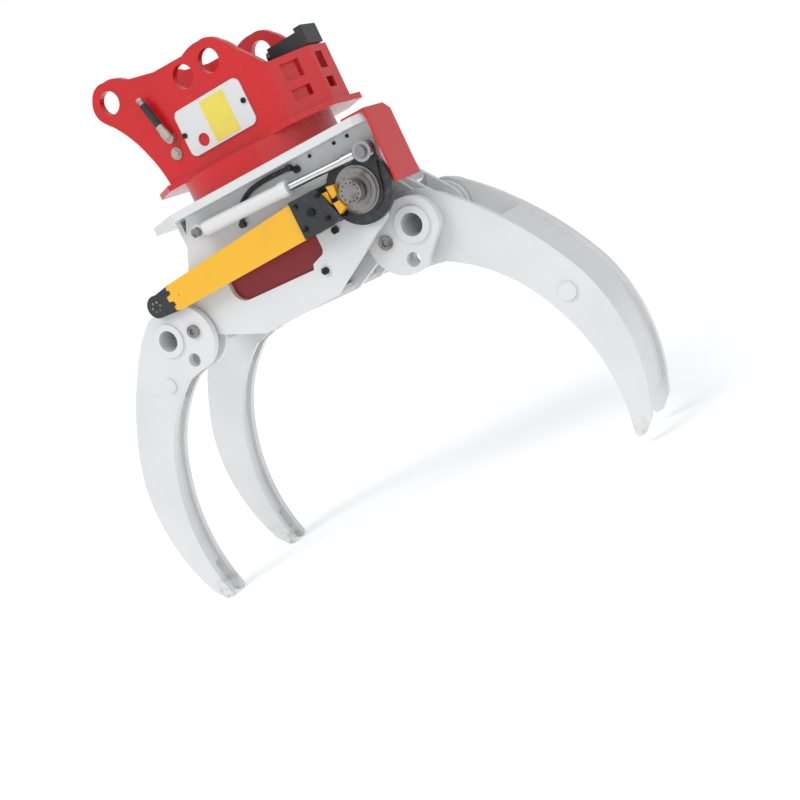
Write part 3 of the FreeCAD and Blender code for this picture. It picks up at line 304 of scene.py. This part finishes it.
def chrome():
    surface = Surface("chrome", (0.62, 0.64, 0.67), 0.09, metallic=1.0)
    smears = surface.noise(scale=22, detail=3, roughness=0.5, stretch=(0.4, 3, 3))
    surface.paint((0.40, 0.41, 0.43), smears.above(0.5, 0.75) * 0.5)
    surface.rough(0.07 + surface.noise(scale=70, detail=3) * 0.1)
    return surface.material


def rubber():
    surface = Surface("rubber", (0.022, 0.022, 0.023), 0.62)
    surface.paint((0.05, 0.05, 0.05), surface.noise(scale=40, detail=4).above(0.45, 0.7))
    surface.relief(surface.noise(scale=300, detail=2), depth=0.0003)
    return surface.material


def label_film():
    surface = Surface("label_film", (0.80, 0.66, 0.10), 0.42)
    surface.paint((0.72, 0.58, 0.09), surface.noise(scale=26, detail=3).above(0.4, 0.7) * 0.5)
    surface.relief(surface.noise(scale=18, detail=2), depth=0.0006)
    return surface.material


finishes = {
    "white_paint": white_paint(), "red_paint": red_paint(), "dark_red_paint": dark_red_paint(),
    "black_paint": black_paint(), "yellow_paint": yellow_paint(), "orange_paint": orange_paint(),
    "grey_steel": worn_steel(), "dark_steel": dark_steel(), "plated_steel": plated_steel(),
    "chrome": chrome(), "hose_rubber": rubber(), "label_film": label_film(),
}
finishes["bronze"] = finishes["plated_steel"]
slots = {part["node"]: part["material_slot"] for part in record["subparts"]}


for name, slot in slots.items():
    holder = nodes[name]
    for index in range(max(1, len(holder.material_slots))):
        if holder.material_slots:
            holder.material_slots[index].material = finishes[slot]


# ---------------------------------------------------------------- camera, light and floor
def look(position, yaw, pitch, roll):
    """A camera matrix from a heading about Z, a tilt and a roll, in degrees."""
    yaw, pitch, roll = (math.radians(angle) for angle in (yaw, pitch, roll))
    ahead = Vector((-math.sin(yaw) * math.cos(pitch), math.cos(yaw) * math.cos(pitch), math.sin(pitch)))
    level = Vector((math.cos(yaw), math.sin(yaw), 0))
    above = level.cross(ahead)
    right = level * math.cos(roll) + above * math.sin(roll)
    up = above * math.cos(roll) - level * math.sin(roll)
    rotation = Matrix((right, up, -ahead)).transposed().to_4x4()
    return Matrix.Translation(position) @ rotation


camera_right = 2.263
camera_near = -3.805
camera_height = -0.7915
camera_yaw = 29.7
camera_pitch = -6.8
camera_roll = -25.8

camera_data = bpy.data.cameras.new("camera")
camera_data.lens = 57.13
camera_data.sensor_width = 36
camera_data.shift_x = -0.0031
camera_data.shift_y = -0.0119
camera = bpy.data.objects.new("camera", camera_data)
bpy.context.scene.collection.objects.link(camera)
camera.matrix_world = look(Vector((slew_axis.x + camera_right, camera_near, camera_height)),
                           camera_yaw, camera_pitch, camera_roll)
bpy.context.scene.camera = camera


def sun(name, strength, direction, spread):
    """A sun that shines along a direction; spread is its apparent size in degrees."""
    light = bpy.data.lights.new(name, "SUN")
    light.energy = strength
    light.angle = math.radians(spread)
    holder = bpy.data.objects.new(name, light)
    bpy.context.scene.collection.objects.link(holder)
    holder.rotation_mode = "QUATERNION"
    holder.rotation_quaternion = Vector(direction).to_track_quat("-Z", "Y")
    return holder


sun("key", strength=1.25, direction=(0.25, 0.75, -0.85), spread=40)
sun("fill", strength=0.35, direction=(-0.85, 0.55, -0.15), spread=60)

world = bpy.data.worlds.new("studio")
bpy.context.scene.world = world
world.use_nodes = True
tree = world.node_tree
background = tree.nodes["Background"]
background.inputs["Color"].default_value = (0.93, 0.96, 1.0, 1)
background.inputs["Strength"].default_value = 0.62
seen = tree.nodes.new("ShaderNodeBackground")
seen.inputs["Color"].default_value = (1, 1, 1, 1)
seen.inputs["Strength"].default_value = 1.0
rays = tree.nodes.new("ShaderNodeLightPath")
mix = tree.nodes.new("ShaderNodeMixShader")
tree.links.new(rays.outputs["Is Camera Ray"], mix.inputs[0])
tree.links.new(background.outputs[0], mix.inputs[1])
tree.links.new(seen.outputs[0], mix.inputs[2])
tree.links.new(mix.outputs[0], tree.nodes["World Output"].inputs["Surface"])

floor_radius = 60
floor_gap = 0.002

mesh = bpy.data.meshes.new("floor")
shape = bmesh.new()
bmesh.ops.create_circle(shape, cap_ends=True, segments=96, radius=floor_radius)
bmesh.ops.translate(shape, verts=shape.verts, vec=(slew_axis.x, 0, floor_level - floor_gap))
shape.to_mesh(mesh)
shape.free()
floor = bpy.data.objects.new("floor", mesh)
bpy.context.scene.collection.objects.link(floor)
paper = bpy.data.materials.new("paper")
paper.use_nodes = True
shader = paper.node_tree.nodes["Principled BSDF"]
shader.inputs["Base Color"].default_value = (0.9, 0.9, 0.9, 1)
shader.inputs["Roughness"].default_value = 1.0
shader.inputs["Specular IOR Level"].default_value = 0.0
shader.inputs["Emission Color"].default_value = (1, 1, 1, 1)
shader.inputs["Emission Strength"].default_value = 0.3
mesh.materials.append(paper)

bpy.context.scene.view_settings.view_transform = "Standard"
